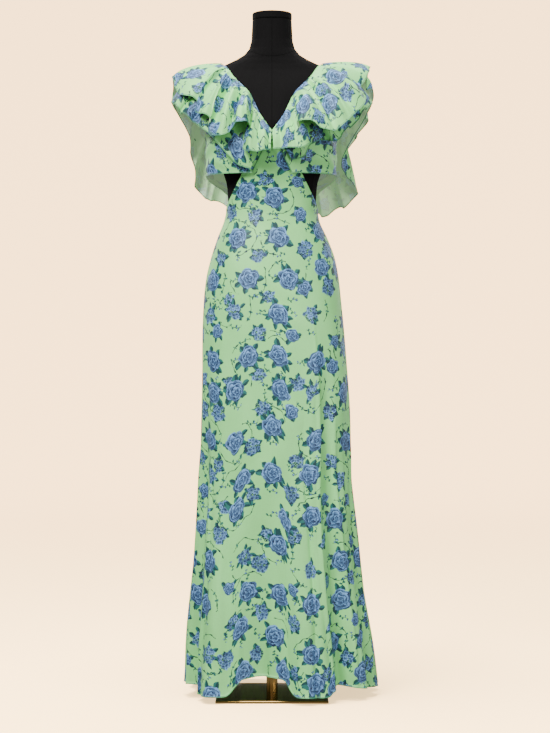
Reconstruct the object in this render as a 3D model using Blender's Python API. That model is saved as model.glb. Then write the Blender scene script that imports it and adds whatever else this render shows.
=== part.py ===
"""A maxi dress on its dress form: V neck with two tiers of flounce, waist cut-outs and a long
fluted skirt, standing on a black limbless form with a brass pole and a square brass base.

Metres, +Z up, the wearer faces -Y. The origin is the middle of the base plate's underside,
on the pole's axis. Run with: blender --background --python part.py
"""

from collections import namedtuple

import bmesh
import bpy
import numpy as np

# Cloth and seams
WALL = 0.0015  # thickness of every cloth wall
SEAM = 0.0006  # clear gap between two pieces that are sewn together
EASE = 0.0025  # how far the fitted cloth stands off the form
ROUNDNESS = 2.3  # superellipse power of every body section

# Heights of the main lines
SHOULDER = 1.494
PANEL_TOP = 1.487
BACK_NECK = 1.400
NECK_POINT = 1.3215
BODICE_HEM = 1.228
WAIST = 1.145
ARMHOLE_LOW, ARMHOLE_HIGH, ARMHOLE_TURN = 1.335, 1.462, 34.0
OUTWARD_LIFT = 0.5  # how steeply the tiers spring up from the neckline seam

# Stand
BASE_SIDE, BASE_THICK = 0.262, 0.006
POLE_RADIUS = 0.0135
FORM_BOTTOM, NECK_TOP, CAP_TOP = 0.870, 1.598, 1.616

Section = namedtuple("Section", "height left right front back")
Mark = namedtuple("Mark", "height turn")
Fold = namedtuple("Fold", "turn width rise start lean")
Hem = namedtuple("Hem", "turn height")
Edge = namedtuple("Edge", "root x y z puff")
Flute = namedtuple("Flute", "at width rise lift pinch")

# The form: half width to each side, depth to front and back, from hip to neck
FORM = (
    Section(0.870, 0.124, 0.124, 0.080, 0.090),
    Section(0.885, 0.137, 0.137, 0.091, 0.103),
    Section(0.940, 0.147, 0.147, 0.101, 0.115),
    Section(1.000, 0.143, 0.143, 0.101, 0.112),
    Section(1.060, 0.128, 0.128, 0.094, 0.094),
    Section(1.110, 0.111, 0.111, 0.084, 0.080),
    Section(1.150, 0.104, 0.104, 0.079, 0.074),
    Section(1.200, 0.106, 0.106, 0.086, 0.078),
    Section(1.250, 0.120, 0.120, 0.104, 0.084),
    Section(1.290, 0.136, 0.136, 0.116, 0.090),
    Section(1.340, 0.148, 0.148, 0.108, 0.094),
    Section(1.390, 0.160, 0.160, 0.090, 0.094),
    Section(1.430, 0.161, 0.161, 0.074, 0.088),
    Section(1.455, 0.153, 0.153, 0.063, 0.076),
    Section(1.475, 0.138, 0.138, 0.054, 0.064),
    Section(1.490, 0.116, 0.116, 0.050, 0.056),
    Section(1.505, 0.084, 0.084, 0.048, 0.052),
    Section(1.516, 0.066, 0.066, 0.048, 0.050),
    Section(1.530, 0.0545, 0.0545, 0.047, 0.048),
    Section(1.550, 0.0490, 0.0490, 0.046, 0.046),
    Section(1.598, 0.0465, 0.0465, 0.045, 0.045),
)

# The bodice: snug over bust and shoulders, boxy at its lower edge
BODICE = (
    Section(1.145, 0.1065, 0.1065, 0.0820, 0.0765),
    Section(1.190, 0.1150, 0.1150, 0.0900, 0.0830),
    Section(1.228, 0.1560, 0.1520, 0.1045, 0.1000),
    Section(1.290, 0.1570, 0.1530, 0.1220, 0.1000),
    Section(1.340, 0.1590, 0.1580, 0.1140, 0.1040),
    Section(1.390, 0.1650, 0.1650, 0.0940, 0.1000),
    Section(1.430, 0.1685, 0.1685, 0.0775, 0.0915),
    Section(1.455, 0.1620, 0.1620, 0.0670, 0.0800),
    Section(1.475, 0.1435, 0.1435, 0.0580, 0.0680),
    Section(1.490, 0.1205, 0.1205, 0.0540, 0.0600),
    Section(1.505, 0.0885, 0.0885, 0.0520, 0.0560),
)

# The skirt before its folds, from waist to hem
SKIRT = (
    Section(1.330, 0.138, 0.138, 0.100, 0.090),
    Section(1.145, 0.1085, 0.1085, 0.0828, 0.0785),
    Section(1.126, 0.112, 0.111, 0.085, 0.083),
    Section(1.078, 0.130, 0.132, 0.098, 0.098),
    Section(1.031, 0.145, 0.149, 0.107, 0.114),
    Section(0.983, 0.156, 0.158, 0.113, 0.124),
    Section(0.936, 0.161, 0.163, 0.117, 0.130),
    Section(0.841, 0.165, 0.172, 0.121, 0.136),
    Section(0.699, 0.166, 0.182, 0.124, 0.142),
    Section(0.509, 0.171, 0.187, 0.127, 0.152),
    Section(0.366, 0.180, 0.200, 0.131, 0.166),
    Section(0.224, 0.191, 0.216, 0.136, 0.182),
    Section(0.129, 0.197, 0.229, 0.139, 0.192),
    Section(0.010, 0.202, 0.243, 0.143, 0.204),
)

# Skirt folds: turn from the front middle (degrees, + to the wearer's left), rise at the hem
# (below 0 for a valley), the height where each starts, and the sideways lean of its crest
FOLDS = (
    Fold(-84, 10, 0.010, 0.62, 0.0),
    Fold(-63, 9, -0.022, 0.85, 0.0),
    Fold(-38, 17, 0.026, 0.75, -0.3),
    Fold(-7, 17, -0.028, 0.42, 0.0),
    Fold(19, 12, 0.028, 0.60, 0.1),
    Fold(29, 7, 0.014, 0.90, 0.2),
    Fold(42, 9, -0.030, 0.90, 0.0),
    Fold(56, 8, 0.012, 0.55, 0.3),
    Fold(68, 7, -0.010, 0.50, 0.0),
    Fold(86, 10, 0.010, 0.60, 0.0),
    Fold(108, 14, 0.022, 0.70, 0.2),
    Fold(128, 11, -0.020, 0.65, 0.0),
    Fold(150, 15, 0.032, 0.85, -0.4),
    Fold(171, 12, -0.018, 0.60, 0.0),
    Fold(-168, 13, 0.028, 0.75, 0.5),
    Fold(-146, 12, -0.022, 0.70, 0.0),
    Fold(-124, 14, 0.028, 0.80, -0.3),
    Fold(-104, 10, -0.012, 0.55, 0.0),
)

# Height of the hem all round: it lifts in the middle of the front
HEM = (
    Hem(-180, 0.020),
    Hem(-125, 0.018),
    Hem(-85, 0.034),
    Hem(-62, 0.030),
    Hem(-52, 0.015),
    Hem(-30, 0.016),
    Hem(-19, 0.056),
    Hem(-6, 0.062),
    Hem(6, 0.056),
    Hem(13, 0.018),
    Hem(29, 0.016),
    Hem(38, 0.037),
    Hem(56, 0.028),
    Hem(84, 0.022),
    Hem(125, 0.018),
    Hem(180, 0.020),
)

# Edges of the front pieces, as turns in degrees away from the centre front: the insert above the
# waist, the bodice's lap over it, and the neckline
INSERT = (
    Mark(WAIST, 89.5),
    Mark(1.156, 74.0),
    Mark(1.185, 53.0),
    Mark(1.235, 32.0),
    Mark(1.280, 16.0),
    Mark(1.318, 3.0),
)
LAP = (Mark(BODICE_HEM, 17.0), Mark(1.275, 8.2), Mark(NECK_POINT, 0.5))
FRONT_NECK = (
    Mark(NECK_POINT, 0.5),
    Mark(1.360, 9.5),
    Mark(1.412, 17.5),
    Mark(1.450, 30.0),
    Mark(1.480, 47.0),
    Mark(SHOULDER, 90.0),
)
# Edges of the back pieces, as turns away from the centre back: the neckline, and the side of the
# back panel between waist and bodice
BACK_NECKLINE = (
    Mark(BACK_NECK, 0.5),
    Mark(1.422, 16.0),
    Mark(1.460, 31.5),
    Mark(1.480, 47.0),
    Mark(SHOULDER, 90.0),
)
BACK_WING = (Mark(WAIST, 56.0), Mark(1.178, 58.0), Mark(1.195, 74.0), Mark(BODICE_HEM, 89.4))

# Lower edge of each tier, from centre front over the shoulder to centre back: the share of the
# neckline it hangs from (1 at the shoulder), where it is, and how far the cloth bows out above it
UPPER_LEFT = (
    Edge(0.00, 0.003, -0.148, 1.277, 0.016),
    Edge(0.20, 0.032, -0.160, 1.272, 0.018),
    Edge(0.34, 0.056, -0.158, 1.271, 0.020),
    Edge(0.42, 0.067, -0.136, 1.283, 0.020),
    Edge(0.46, 0.05, -0.152, 1.325, 0.022),
    Edge(0.52, 0.061, -0.168, 1.338, 0.024),
    Edge(0.58, 0.08, -0.164, 1.338, 0.024),
    Edge(0.60, 0.091, -0.142, 1.327, 0.022),
    Edge(0.70, 0.118, -0.148, 1.307, 0.024),
    Edge(0.79, 0.148, -0.122, 1.328, 0.026),
    Edge(0.82, 0.14, -0.130, 1.346, 0.028),
    Edge(0.86, 0.156, -0.138, 1.361, 0.030),
    Edge(0.90, 0.177, -0.098, 1.370, 0.028),
    Edge(0.93, 0.172, -0.094, 1.388, 0.028),
    Edge(0.95, 0.19, -0.100, 1.408, 0.028),
    Edge(0.97, 0.214, -0.070, 1.413, 0.028),
    Edge(0.99, 0.23, -0.030, 1.442, 0.026),
    Edge(1.00, 0.236, 0.000, 1.466, 0.024),
    Edge(1.03, 0.234, 0.030, 1.424, 0.042),
    Edge(1.08, 0.214, 0.052, 1.372, 0.048),
    Edge(1.14, 0.194, 0.072, 1.340, 0.050),
    Edge(1.22, 0.182, 0.107, 1.318, 0.048),
    Edge(1.40, 0.15, 0.133, 1.302, 0.042),
    Edge(1.62, 0.1, 0.153, 1.290, 0.038),
    Edge(2.00, 0.0015, 0.158, 1.284, 0.034),
)
UPPER_RIGHT = (
    Edge(0.00, 0.003, -0.148, 1.277, 0.016),
    Edge(0.16, 0.034, -0.154, 1.280, 0.018),
    Edge(0.32, 0.066, -0.162, 1.280, 0.020),
    Edge(0.42, 0.09, -0.138, 1.296, 0.022),
    Edge(0.46, 0.072, -0.150, 1.312, 0.022),
    Edge(0.50, 0.058, -0.164, 1.338, 0.024),
    Edge(0.55, 0.084, -0.172, 1.341, 0.026),
    Edge(0.62, 0.112, -0.170, 1.321, 0.026),
    Edge(0.70, 0.14, -0.160, 1.320, 0.026),
    Edge(0.77, 0.163, -0.138, 1.334, 0.026),
    Edge(0.84, 0.188, -0.114, 1.362, 0.028),
    Edge(0.90, 0.213, -0.086, 1.388, 0.028),
    Edge(0.93, 0.22, -0.058, 1.416, 0.028),
    Edge(0.95, 0.205, -0.056, 1.428, 0.026),
    Edge(0.97, 0.22, -0.054, 1.452, 0.026),
    Edge(0.99, 0.229, -0.024, 1.476, 0.024),
    Edge(1.00, 0.232, 0.000, 1.488, 0.022),
    Edge(1.03, 0.222, 0.030, 1.430, 0.044),
    Edge(1.08, 0.223, 0.052, 1.358, 0.050),
    Edge(1.14, 0.198, 0.076, 1.330, 0.050),
    Edge(1.22, 0.190, 0.116, 1.306, 0.048),
    Edge(1.40, 0.152, 0.133, 1.292, 0.042),
    Edge(1.62, 0.1, 0.153, 1.286, 0.038),
    Edge(2.00, 0.0015, 0.158, 1.284, 0.034),
)
LOWER_LEFT = (
    Edge(0.00, 0.05, -0.110, 1.236, 0.014),
    Edge(0.20, 0.078, -0.114, 1.245, 0.016),
    Edge(0.38, 0.11, -0.114, 1.276, 0.016),
    Edge(0.56, 0.14, -0.106, 1.311, 0.018),
    Edge(0.72, 0.178, -0.086, 1.344, 0.022),
    Edge(0.86, 0.206, -0.064, 1.362, 0.024),
    Edge(0.94, 0.226, -0.040, 1.390, 0.022),
    Edge(1.00, 0.238, 0.000, 1.404, 0.026),
    Edge(1.04, 0.22, 0.028, 1.374, 0.032),
    Edge(1.10, 0.196, 0.052, 1.326, 0.038),
    Edge(1.17, 0.197, 0.076, 1.282, 0.038),
    Edge(1.24, 0.181, 0.094, 1.254, 0.034),
    Edge(1.32, 0.192, 0.110, 1.210, 0.032),
    Edge(1.42, 0.172, 0.124, 1.190, 0.026),
    Edge(1.58, 0.13, 0.138, 1.172, 0.016),
    Edge(1.78, 0.07, 0.148, 1.156, 0.010),
    Edge(2.00, 0.0015, 0.152, 1.150, 0.006),
)
LOWER_RIGHT = (
    Edge(0.00, 0.046, -0.117, 1.256, 0.014),
    Edge(0.14, 0.072, -0.121, 1.262, 0.016),
    Edge(0.26, 0.09, -0.112, 1.292, 0.018),
    Edge(0.42, 0.122, -0.104, 1.304, 0.018),
    Edge(0.54, 0.146, -0.114, 1.299, 0.020),
    Edge(0.66, 0.168, -0.094, 1.320, 0.022),
    Edge(0.80, 0.2, -0.072, 1.352, 0.024),
    Edge(0.92, 0.226, -0.040, 1.386, 0.022),
    Edge(1.00, 0.238, 0.000, 1.402, 0.026),
    Edge(1.05, 0.214, 0.024, 1.360, 0.034),
    Edge(1.10, 0.182, 0.040, 1.304, 0.044),
    Edge(1.15, 0.16, 0.056, 1.256, 0.042),
    Edge(1.19, 0.182, 0.060, 1.226, 0.042),
    Edge(1.23, 0.213, 0.084, 1.199, 0.042),
    Edge(1.30, 0.198, 0.112, 1.180, 0.032),
    Edge(1.42, 0.17, 0.128, 1.160, 0.024),
    Edge(1.56, 0.126, 0.140, 1.140, 0.014),
    Edge(1.78, 0.07, 0.148, 1.150, 0.010),
    Edge(2.00, 0.0015, 0.152, 1.150, 0.006),
)

# Flutes of each tier: how far along its edge, half width, how far the crest stands out (below 0
# for a valley), how far it lifts the edge, and how much its sides close in behind the crest
UPPER_LEFT_FLUTES = (
    Flute(0.640, 0.030, 0.020, 0.008, 0.5),
    Flute(0.705, 0.026, 0.026, 0.010, 0.6),
    Flute(0.765, 0.026, 0.028, 0.012, 0.6),
    Flute(0.825, 0.028, 0.028, 0.010, 0.6),
    Flute(0.880, 0.022, 0.024, 0.010, 0.5),
)
UPPER_RIGHT_FLUTES = (
    Flute(0.620, 0.030, 0.022, 0.010, 0.5),
    Flute(0.685, 0.028, 0.026, 0.010, 0.6),
    Flute(0.745, 0.024, 0.028, 0.014, 0.6),
    Flute(0.805, 0.028, 0.026, 0.010, 0.6),
)
LOWER_LEFT_FLUTES = (
    Flute(0.205, 0.020, 0.012, 0.004, 0.4),
    Flute(0.250, 0.018, 0.012, 0.004, 0.4),
    Flute(0.560, 0.026, 0.018, 0.008, 0.5),
    Flute(0.620, 0.026, 0.020, 0.006, 0.5),
    Flute(0.680, 0.026, 0.020, 0.008, 0.5),
)
LOWER_RIGHT_FLUTES = (
    Flute(0.165, 0.016, 0.010, 0.002, 0.4),
    Flute(0.235, 0.018, 0.012, 0.006, 0.4),
    Flute(0.600, 0.026, 0.020, 0.006, 0.5),
    Flute(0.660, 0.026, 0.020, 0.008, 0.5),
    Flute(0.720, 0.024, 0.018, 0.006, 0.5),
)


def curve(x, y, at):
    """The value at any place along a curve through given points, with no overshoot."""
    step = np.diff(x)
    slope = np.diff(y) / step
    tangent = np.concatenate([slope[:1], np.zeros(len(x) - 2), slope[-1:]])
    same_way = slope[:-1] * slope[1:] > 0
    before, after = slope[:-1][same_way], slope[1:][same_way]
    tangent[1:-1][same_way] = 2 * before * after / (before + after)
    at = np.clip(np.asarray(at, float), x[0], x[-1])
    i = np.clip(np.searchsorted(x, at, side="right") - 1, 0, len(x) - 2)
    t = (at - x[i]) / step[i]
    value = y[i] * (1 + 2 * t) * (1 - t) ** 2 + y[i + 1] * t * t * (3 - 2 * t)
    return value + step[i] * t * (1 - t) * (tangent[i] * (1 - t) - tangent[i + 1] * t)


def column(rows, key, name, at):
    """Column `name` of a table at any value of its column `key`."""
    pairs = sorted((getattr(row, key), getattr(row, name)) for row in rows)
    x, y = np.array(pairs, float).T
    return curve(x, y, at)


def mix(a, b, share):
    return a + (b - a) * share


def unit(vectors):
    return vectors / np.maximum(np.linalg.norm(vectors, axis=-1, keepdims=True), 1e-9)


def sides(rows, angle, height, out=0.0):
    """Half width and depth of a section at each angle (0 at +X, 90 degrees at the back)."""
    left, right = (column(rows, "height", name, height) for name in ("left", "right"))
    front, back = (column(rows, "height", name, height) for name in ("front", "back"))
    half = np.where(np.cos(angle) < 0, left, right) + out
    depth = np.where(np.sin(angle) < 0, front, back) + out
    return half, depth


def on_ring(half, depth, angle, height):
    c, s = np.cos(angle), np.sin(angle)
    reach = (np.abs(c) ** ROUNDNESS + np.abs(s) ** ROUNDNESS) ** (-1 / ROUNDNESS)
    return np.stack([half * c * reach, depth * s * reach, height + 0 * angle], axis=-1)


def bump(distance):
    """1 at 0, easing to 0 at a distance of 1."""
    return np.cos(np.pi / 2 * np.clip(np.abs(distance), 0, 1)) ** 2


def skirt_point(turn, height):
    """A point of the skirt's inner face. The folds grow from their start down to the hem."""
    angle = np.radians(turn - 90)
    half, depth = sides(SKIRT, angle, height)
    form_half, form_depth = sides(FORM, angle, height, EASE)
    over_form = height > FORM_BOTTOM
    half = np.where(over_form, np.maximum(half, form_half), half)
    depth = np.where(over_form, np.maximum(depth, form_depth), depth)
    point = on_ring(half, depth, angle, height)
    out = unit(point / np.stack([half**2, depth**2, 1 + 0 * half], axis=-1) * (1, 1, 0))
    along = np.stack([-out[..., 1], out[..., 0], 0 * half], axis=-1)
    for fold in FOLDS:
        away = (turn - fold.turn + 180) % 360 - 180
        grown = np.clip((fold.start - height) / fold.start, 0, 1) ** 1.25
        rise = (fold.rise * bump(away / fold.width) * grown)[..., None]
        point = point + out * rise + along * rise * fold.lean
    return point


def neck_root(share, side, out):
    """The neckline, where the tiers are sewn on, and the way out from the body there."""
    in_front = share <= 1
    rise = np.where(in_front, share, 2 - share)
    height = mix(np.where(in_front, NECK_POINT, BACK_NECK), SHOULDER, rise)
    turn = np.where(
        in_front,
        column(FRONT_NECK, "height", "turn", height),
        column(BACK_NECKLINE, "height", "turn", height),
    )
    angle = np.radians(np.where(in_front, turn - 90, 90 - turn))
    half, depth = sides(BODICE, angle, height)
    root = on_ring(half, depth, angle, height)
    away = unit(root / np.stack([half**2, depth**2, 1 + 0 * half], axis=-1) * (1, 1, 0))
    away = unit(away + (0, 0, OUTWARD_LIFT)) * (side, 1, 1)
    return root * (side, 1, 1) + away * out, away


def edge_lengths(edge):
    """How far along a tier's edge each row of its table lies."""
    points = np.array([(row.x, row.y, row.z) for row in edge])
    return np.concatenate([[0], np.cumsum(np.linalg.norm(np.diff(points, axis=0), axis=1))])


def tier_point(at, down, side, edge, flutes, out):
    """A point of a tier's inner face: along its edge, and down from seam (0) to edge (1)."""
    reach = edge_lengths(edge)
    root, x, y, z, puff = (curve(reach, np.array(c, float), at) for c in zip(*edge))
    seam = 0.0008  # share of the neckline that the shoulder seam takes
    root = np.where(root <= 1, root * (1 - seam), 2 - (2 - root) * (1 - seam))
    start, away = neck_root(root, side, out)
    lower = np.stack([x, y, z], axis=-1) * (side, 1, 1)
    rows = np.array(edge)
    ahead, behind = (
        np.stack([curve(reach, rows[:, k], at + step) for k in (1, 2, 3)], axis=-1)
        for step in (0.03, -0.03)
    )
    along = unit((ahead - behind) * (side, 1, 1))
    t = down[..., None]
    point = mix(start, lower, t) + away * puff[..., None] * 4 * t * (1 - t)
    for flute in flutes:
        place = (at - flute.at) / flute.width
        grown = down**1.2
        inside = np.where(np.abs(place) < 1, np.sin(np.pi * place), 0)
        slide = flute.pinch * flute.width * inside * grown
        point = point + away * (flute.rise * bump(place) * grown)[..., None]
        point = point + along * slide[..., None]
        point[..., 2] += flute.lift * bump(place) * down**2
    return point


def cleared():
    for old in list(bpy.data.objects):
        bpy.data.objects.remove(old)


def material(name, colour, roughness, metallic=0.0):
    made = bpy.data.materials.new(name)
    made.use_nodes = True
    shader = made.node_tree.nodes["Principled BSDF"]
    shader.inputs["Base Color"].default_value = (*colour, 1)
    shader.inputs["Roughness"].default_value = roughness
    shader.inputs["Metallic"].default_value = metallic
    return made


def placed(name, mesh, finish):
    obj = bpy.data.objects.new(name, mesh)
    bpy.context.scene.collection.objects.link(obj)
    mesh.materials.append(finish)
    mesh.shade_smooth()
    return obj


def cloth(name, points, finish):
    """A sewn piece: a grid of points on its inner face, thickened outwards by Solidify."""
    rows, columns = points.shape[:2]
    number = np.arange(rows * columns).reshape(rows, columns)
    corners = (number[:-1, :-1], number[:-1, 1:], number[1:, 1:], number[1:, :-1])
    faces = np.stack([c.ravel() for c in corners], axis=-1)
    mesh = bpy.data.meshes.new(name)
    mesh.from_pydata(points.reshape(-1, 3).tolist(), [], faces.tolist())
    obj = placed(name, mesh, finish)
    wall = obj.modifiers.new("wall", "SOLIDIFY")
    wall.thickness = WALL
    wall.offset = 1
    wall.use_even_offset = False
    return obj


def skirt_front(finish):
    """The front panel: hem to waist from side seam to side seam, then the narrowing insert."""
    across = np.linspace(-1, 1, 37)
    down = np.linspace(0, 1, 12)[:, None] ** 0.9
    depth = column(SKIRT, "height", "front", mix(0.02, WAIST, down))
    side = 90 - np.degrees(SEAM / 2 / depth)
    turn = side * across
    height = mix(column(HEM, "turn", "height", turn), WAIST, down)
    skirt = skirt_point(turn, height)
    rise = mix(WAIST, INSERT[-1].height, np.linspace(0, 1, 7)[1:, None] ** 1.3)
    insert_turn = column(INSERT, "height", "turn", rise) * across
    return cloth("skirt_front", np.concatenate([skirt, skirt_point(insert_turn, rise + 0 * across)]), finish)


def skirt_back(finish):
    across = np.linspace(-1, 1, 25)
    down = np.linspace(0, 1, 9)[:, None] ** 0.9
    depth = column(SKIRT, "height", "back", mix(0.02, WAIST, down))
    half_turn = 90 - np.degrees(SEAM / 2 / depth)
    turn = 180 + half_turn * across
    wrapped = (turn + 180) % 360 - 180
    height = mix(column(HEM, "turn", "height", wrapped), WAIST - 3 * SEAM, down)
    return cloth("skirt_back", skirt_point(wrapped, height), finish)


def armhole(height):
    """How far the armhole cuts back the side edge, in degrees of turn."""
    share = np.clip((height - ARMHOLE_LOW) / (ARMHOLE_HIGH - ARMHOLE_LOW), 0, 1)
    return ARMHOLE_TURN * np.sin(np.pi * share) ** 0.8


def bodice_panel(name, side, back, finish):
    """One of the four bodice panels, between its centre or neckline edge and its side edge."""
    joints = (NECK_POINT, ARMHOLE_LOW) if not back else (BODICE_HEM, ARMHOLE_LOW, BACK_NECK)
    low = WAIST if back else BODICE_HEM
    stops = [low, *joints, ARMHOLE_HIGH, PANEL_TOP]
    steps = [4, 1, 4, 2] if not back else [3, 3, 2, 2, 2]
    pieces = [np.linspace(a, b, n + 1)[1:] for a, b, n in zip(stops[:-1], stops[1:], steps)]
    height = np.concatenate([[low], *pieces])[:, None]
    if back:
        inner = column(BACK_NECKLINE, "height", "turn", height)
    else:
        inner = np.where(
            height < NECK_POINT,
            column(LAP, "height", "turn", height),
            column(FRONT_NECK, "height", "turn", height),
        )
    depth = column(BODICE, "height", "back" if back else "front", height)
    outer = 90 - np.degrees(SEAM / 2 / depth) - armhole(height)
    if back:
        outer = np.minimum(outer, column(BACK_WING, "height", "turn", height))
    turn = mix(inner, outer, np.linspace(0, 1, 7))
    angle = np.radians(90 - turn if back else turn - 90)
    half, depth = sides(BODICE, np.where(side < 0, np.pi - angle, angle), height)
    points = on_ring(half, depth, angle, height) * (side, 1, 1)
    if (side > 0) == back:
        points = points[:, ::-1]
    return cloth(name, points, finish)


def tier(name, side, part, edge, flutes, out, columns, finish):
    """Front or back half of one tier on one side, cut at the shoulder seam."""
    reach = edge_lengths(edge)
    shoulder = reach[[row.root for row in edge].index(1.0)]
    first, last = (0, shoulder - SEAM) if part == "front" else (shoulder + SEAM, reach[-1])
    at = np.linspace(first, last, columns)[None, :]
    down = np.linspace(0, 1, 5)[:, None] ** 0.8
    points = tier_point(at + 0 * down, down + 0 * at, side, edge, flutes, out)
    if side > 0:
        points = points[::-1]
    return cloth(name, points, finish)


def form_torso(finish):
    """The form's body: rings from hip to neck, closed at both ends."""
    heights = sorted({row.height for row in FORM} | set(np.linspace(1.17, 1.44, 7).round(4)))
    angle = np.linspace(0, 2 * np.pi, 36, endpoint=False)
    shell = bmesh.new()
    loops = []
    for height in heights:
        half, depth = sides(FORM, angle, height)
        ring = [shell.verts.new(p) for p in on_ring(half, depth, angle, height)]
        loops.append([shell.edges.new((a, b)) for a, b in zip(ring, ring[1:] + ring[:1])])
    for lower, upper in zip(loops[:-1], loops[1:]):
        bmesh.ops.bridge_loops(shell, edges=lower + upper)
    bmesh.ops.holes_fill(shell, edges=loops[0] + loops[-1])
    bmesh.ops.recalc_face_normals(shell, faces=shell.faces)
    mesh = bpy.data.meshes.new("form_torso")
    shell.to_mesh(mesh)
    shell.free()
    return placed("form_torso", mesh, finish)


def round_bar(name, radius, low, high, finish, bevel=0.0):
    shell = bmesh.new()
    bmesh.ops.create_cone(
        shell, cap_ends=True, segments=32, radius1=radius, radius2=radius, depth=high - low
    )
    bmesh.ops.translate(shell, verts=shell.verts, vec=(0, 0, (low + high) / 2))
    mesh = bpy.data.meshes.new(name)
    shell.to_mesh(mesh)
    shell.free()
    obj = placed(name, mesh, finish)
    mesh.set_sharp_from_angle(angle=np.radians(40))
    if bevel:
        rounding = obj.modifiers.new("edge", "BEVEL")
        rounding.width = bevel
        rounding.segments = 2
    return obj


def base_plate(finish):
    shell = bmesh.new()
    bmesh.ops.create_cube(shell, size=1)
    bmesh.ops.scale(shell, verts=shell.verts, vec=(BASE_SIDE, BASE_SIDE, BASE_THICK))
    bmesh.ops.translate(shell, verts=shell.verts, vec=(0, 0, BASE_THICK / 2))
    mesh = bpy.data.meshes.new("base_plate")
    shell.to_mesh(mesh)
    shell.free()
    obj = placed("base_plate", mesh, finish)
    mesh.shade_flat()
    rounding = obj.modifiers.new("edge", "BEVEL")
    rounding.width = 0.0012
    rounding.segments = 1
    return obj


def main():
    cleared()
    print_cloth = material("printed_cloth", (0.50, 0.74, 0.42), 0.6)
    black_cloth = material("form_cloth", (0.012, 0.012, 0.013), 0.85)
    brass = material("brass", (0.62, 0.42, 0.16), 0.2, 1.0)

    base_plate(brass)
    round_bar("pole", POLE_RADIUS, BASE_THICK + 0.0003, FORM_BOTTOM - 0.0003, brass)
    form_torso(black_cloth)
    round_bar("neck_cap", 0.0470, NECK_TOP + 0.0003, CAP_TOP, black_cloth, bevel=0.003)

    skirt_front(print_cloth)
    skirt_back(print_cloth)
    upper, lower = (UPPER_LEFT, UPPER_RIGHT), (LOWER_LEFT, LOWER_RIGHT)
    upper_flutes = (UPPER_LEFT_FLUTES, UPPER_RIGHT_FLUTES)
    lower_flutes = (LOWER_LEFT_FLUTES, LOWER_RIGHT_FLUTES)
    first, second = WALL + 2 * SEAM, 3 * (WALL + SEAM)  # how far each tier's seam stands off
    for side, hand in ((-1, "left"), (1, "right")):
        bodice_panel(f"bodice_front_{hand}", side, False, print_cloth)
        bodice_panel(f"bodice_back_{hand}", side, True, print_cloth)
        pick = side > 0
        for part in ("front", "back"):
            above, below = (f"{row}_tier_{part}_{hand}" for row in ("upper", "lower"))
            wide = 25 if part == "front" else 29
            tier(below, side, part, lower[pick], lower_flutes[pick], first, wide, print_cloth)
            wide = 41 if part == "front" else 31
            tier(above, side, part, upper[pick], upper_flutes[pick], second, wide, print_cloth)


main()
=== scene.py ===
"""Maxi dress on its dress form: the cloth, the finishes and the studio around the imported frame."""

from collections import namedtuple
from functools import partialmethod

import bpy
import numpy as np
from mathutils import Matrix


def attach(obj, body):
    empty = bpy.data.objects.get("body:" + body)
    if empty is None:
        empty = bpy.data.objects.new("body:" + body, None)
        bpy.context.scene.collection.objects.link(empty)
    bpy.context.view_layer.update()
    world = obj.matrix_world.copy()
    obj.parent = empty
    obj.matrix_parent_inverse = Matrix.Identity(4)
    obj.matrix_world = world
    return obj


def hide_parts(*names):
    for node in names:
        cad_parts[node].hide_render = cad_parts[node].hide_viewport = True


bl_info = {
    "name": "Maxi dress on a dress form",
    "version": (1, 0, 0),
    "blender": (4, 5, 0),
    "location": "View3D > Sidebar > Dress",
    "description": "Sews the dress round the packed form, finishes the stand and lights the studio",
    "category": "Object",
}

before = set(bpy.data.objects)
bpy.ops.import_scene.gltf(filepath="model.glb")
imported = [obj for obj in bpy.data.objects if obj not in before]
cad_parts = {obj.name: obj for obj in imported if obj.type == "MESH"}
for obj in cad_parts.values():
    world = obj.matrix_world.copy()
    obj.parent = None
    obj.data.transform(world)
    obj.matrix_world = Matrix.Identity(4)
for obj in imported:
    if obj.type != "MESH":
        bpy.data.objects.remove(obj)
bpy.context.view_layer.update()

BODY = "root"

# ---- the pattern of the dress

ROUNDNESS = 2.3  # superellipse power of every body section
EASE = 0.0025  # how far the fitted cloth stands off the form
SEAM = 0.0006  # clear gap between two pieces that are sewn together
SHOULDER, PANEL_TOP, BACK_NECK, NECK_POINT = 1.494, 1.487, 1.400, 1.3215
BODICE_HEM, WAIST, FORM_BOTTOM, HEM_LEVEL = 1.228, 1.145, 0.870, 0.020
ARMHOLE_LOW, ARMHOLE_HIGH, ARMHOLE_TURN = 1.335, 1.462, 34.0
OUTWARD_LIFT = 0.5  # how steeply the tiers spring up from the neckline seam
PANEL_STEP = 0.004  # height of one row of a bodice panel
LOWER_ROOT, UPPER_ROOT = 0.0027, 0.0063  # how far each tier's seam stands off the body
SEAM_SHARE = 0.0008  # share of the neckline that the shoulder seam takes
FRONT_SPREAD, BACK_SPREAD, BROAD_SPREAD = 0.007, 0.048, 0.045  # how far a tier's edge is evened out
HEM_TINT = (0.0038, 0.0024)  # from the hem: where its darker line starts, and where it is full
STITCHES, STITCH_WIDTH = 0.0048, 0.0009  # the line of stitches along a hem
NECK_SEAM, WAIST_SEAM = 1.507, 1.150  # heights of the seams of the form's cover
LIT_MIDDLE = (0.0, 0.0, 0.85)  # where the lights are aimed
CAMERA, LENS, SENSOR = (0.007, -4.6, 0.778), 95.18, 36.0  # metres, then millimetres
SKY, SKY_MIRRORED = 0.17, 0.22  # strength of the world's light, and what reflections see above it
FLOUNCE_GRAIN = 25.0  # degrees that a flounce is turned on the bolt
BACK_CALM = 0.7  # how much weaker the flutes are behind the shoulder

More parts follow.
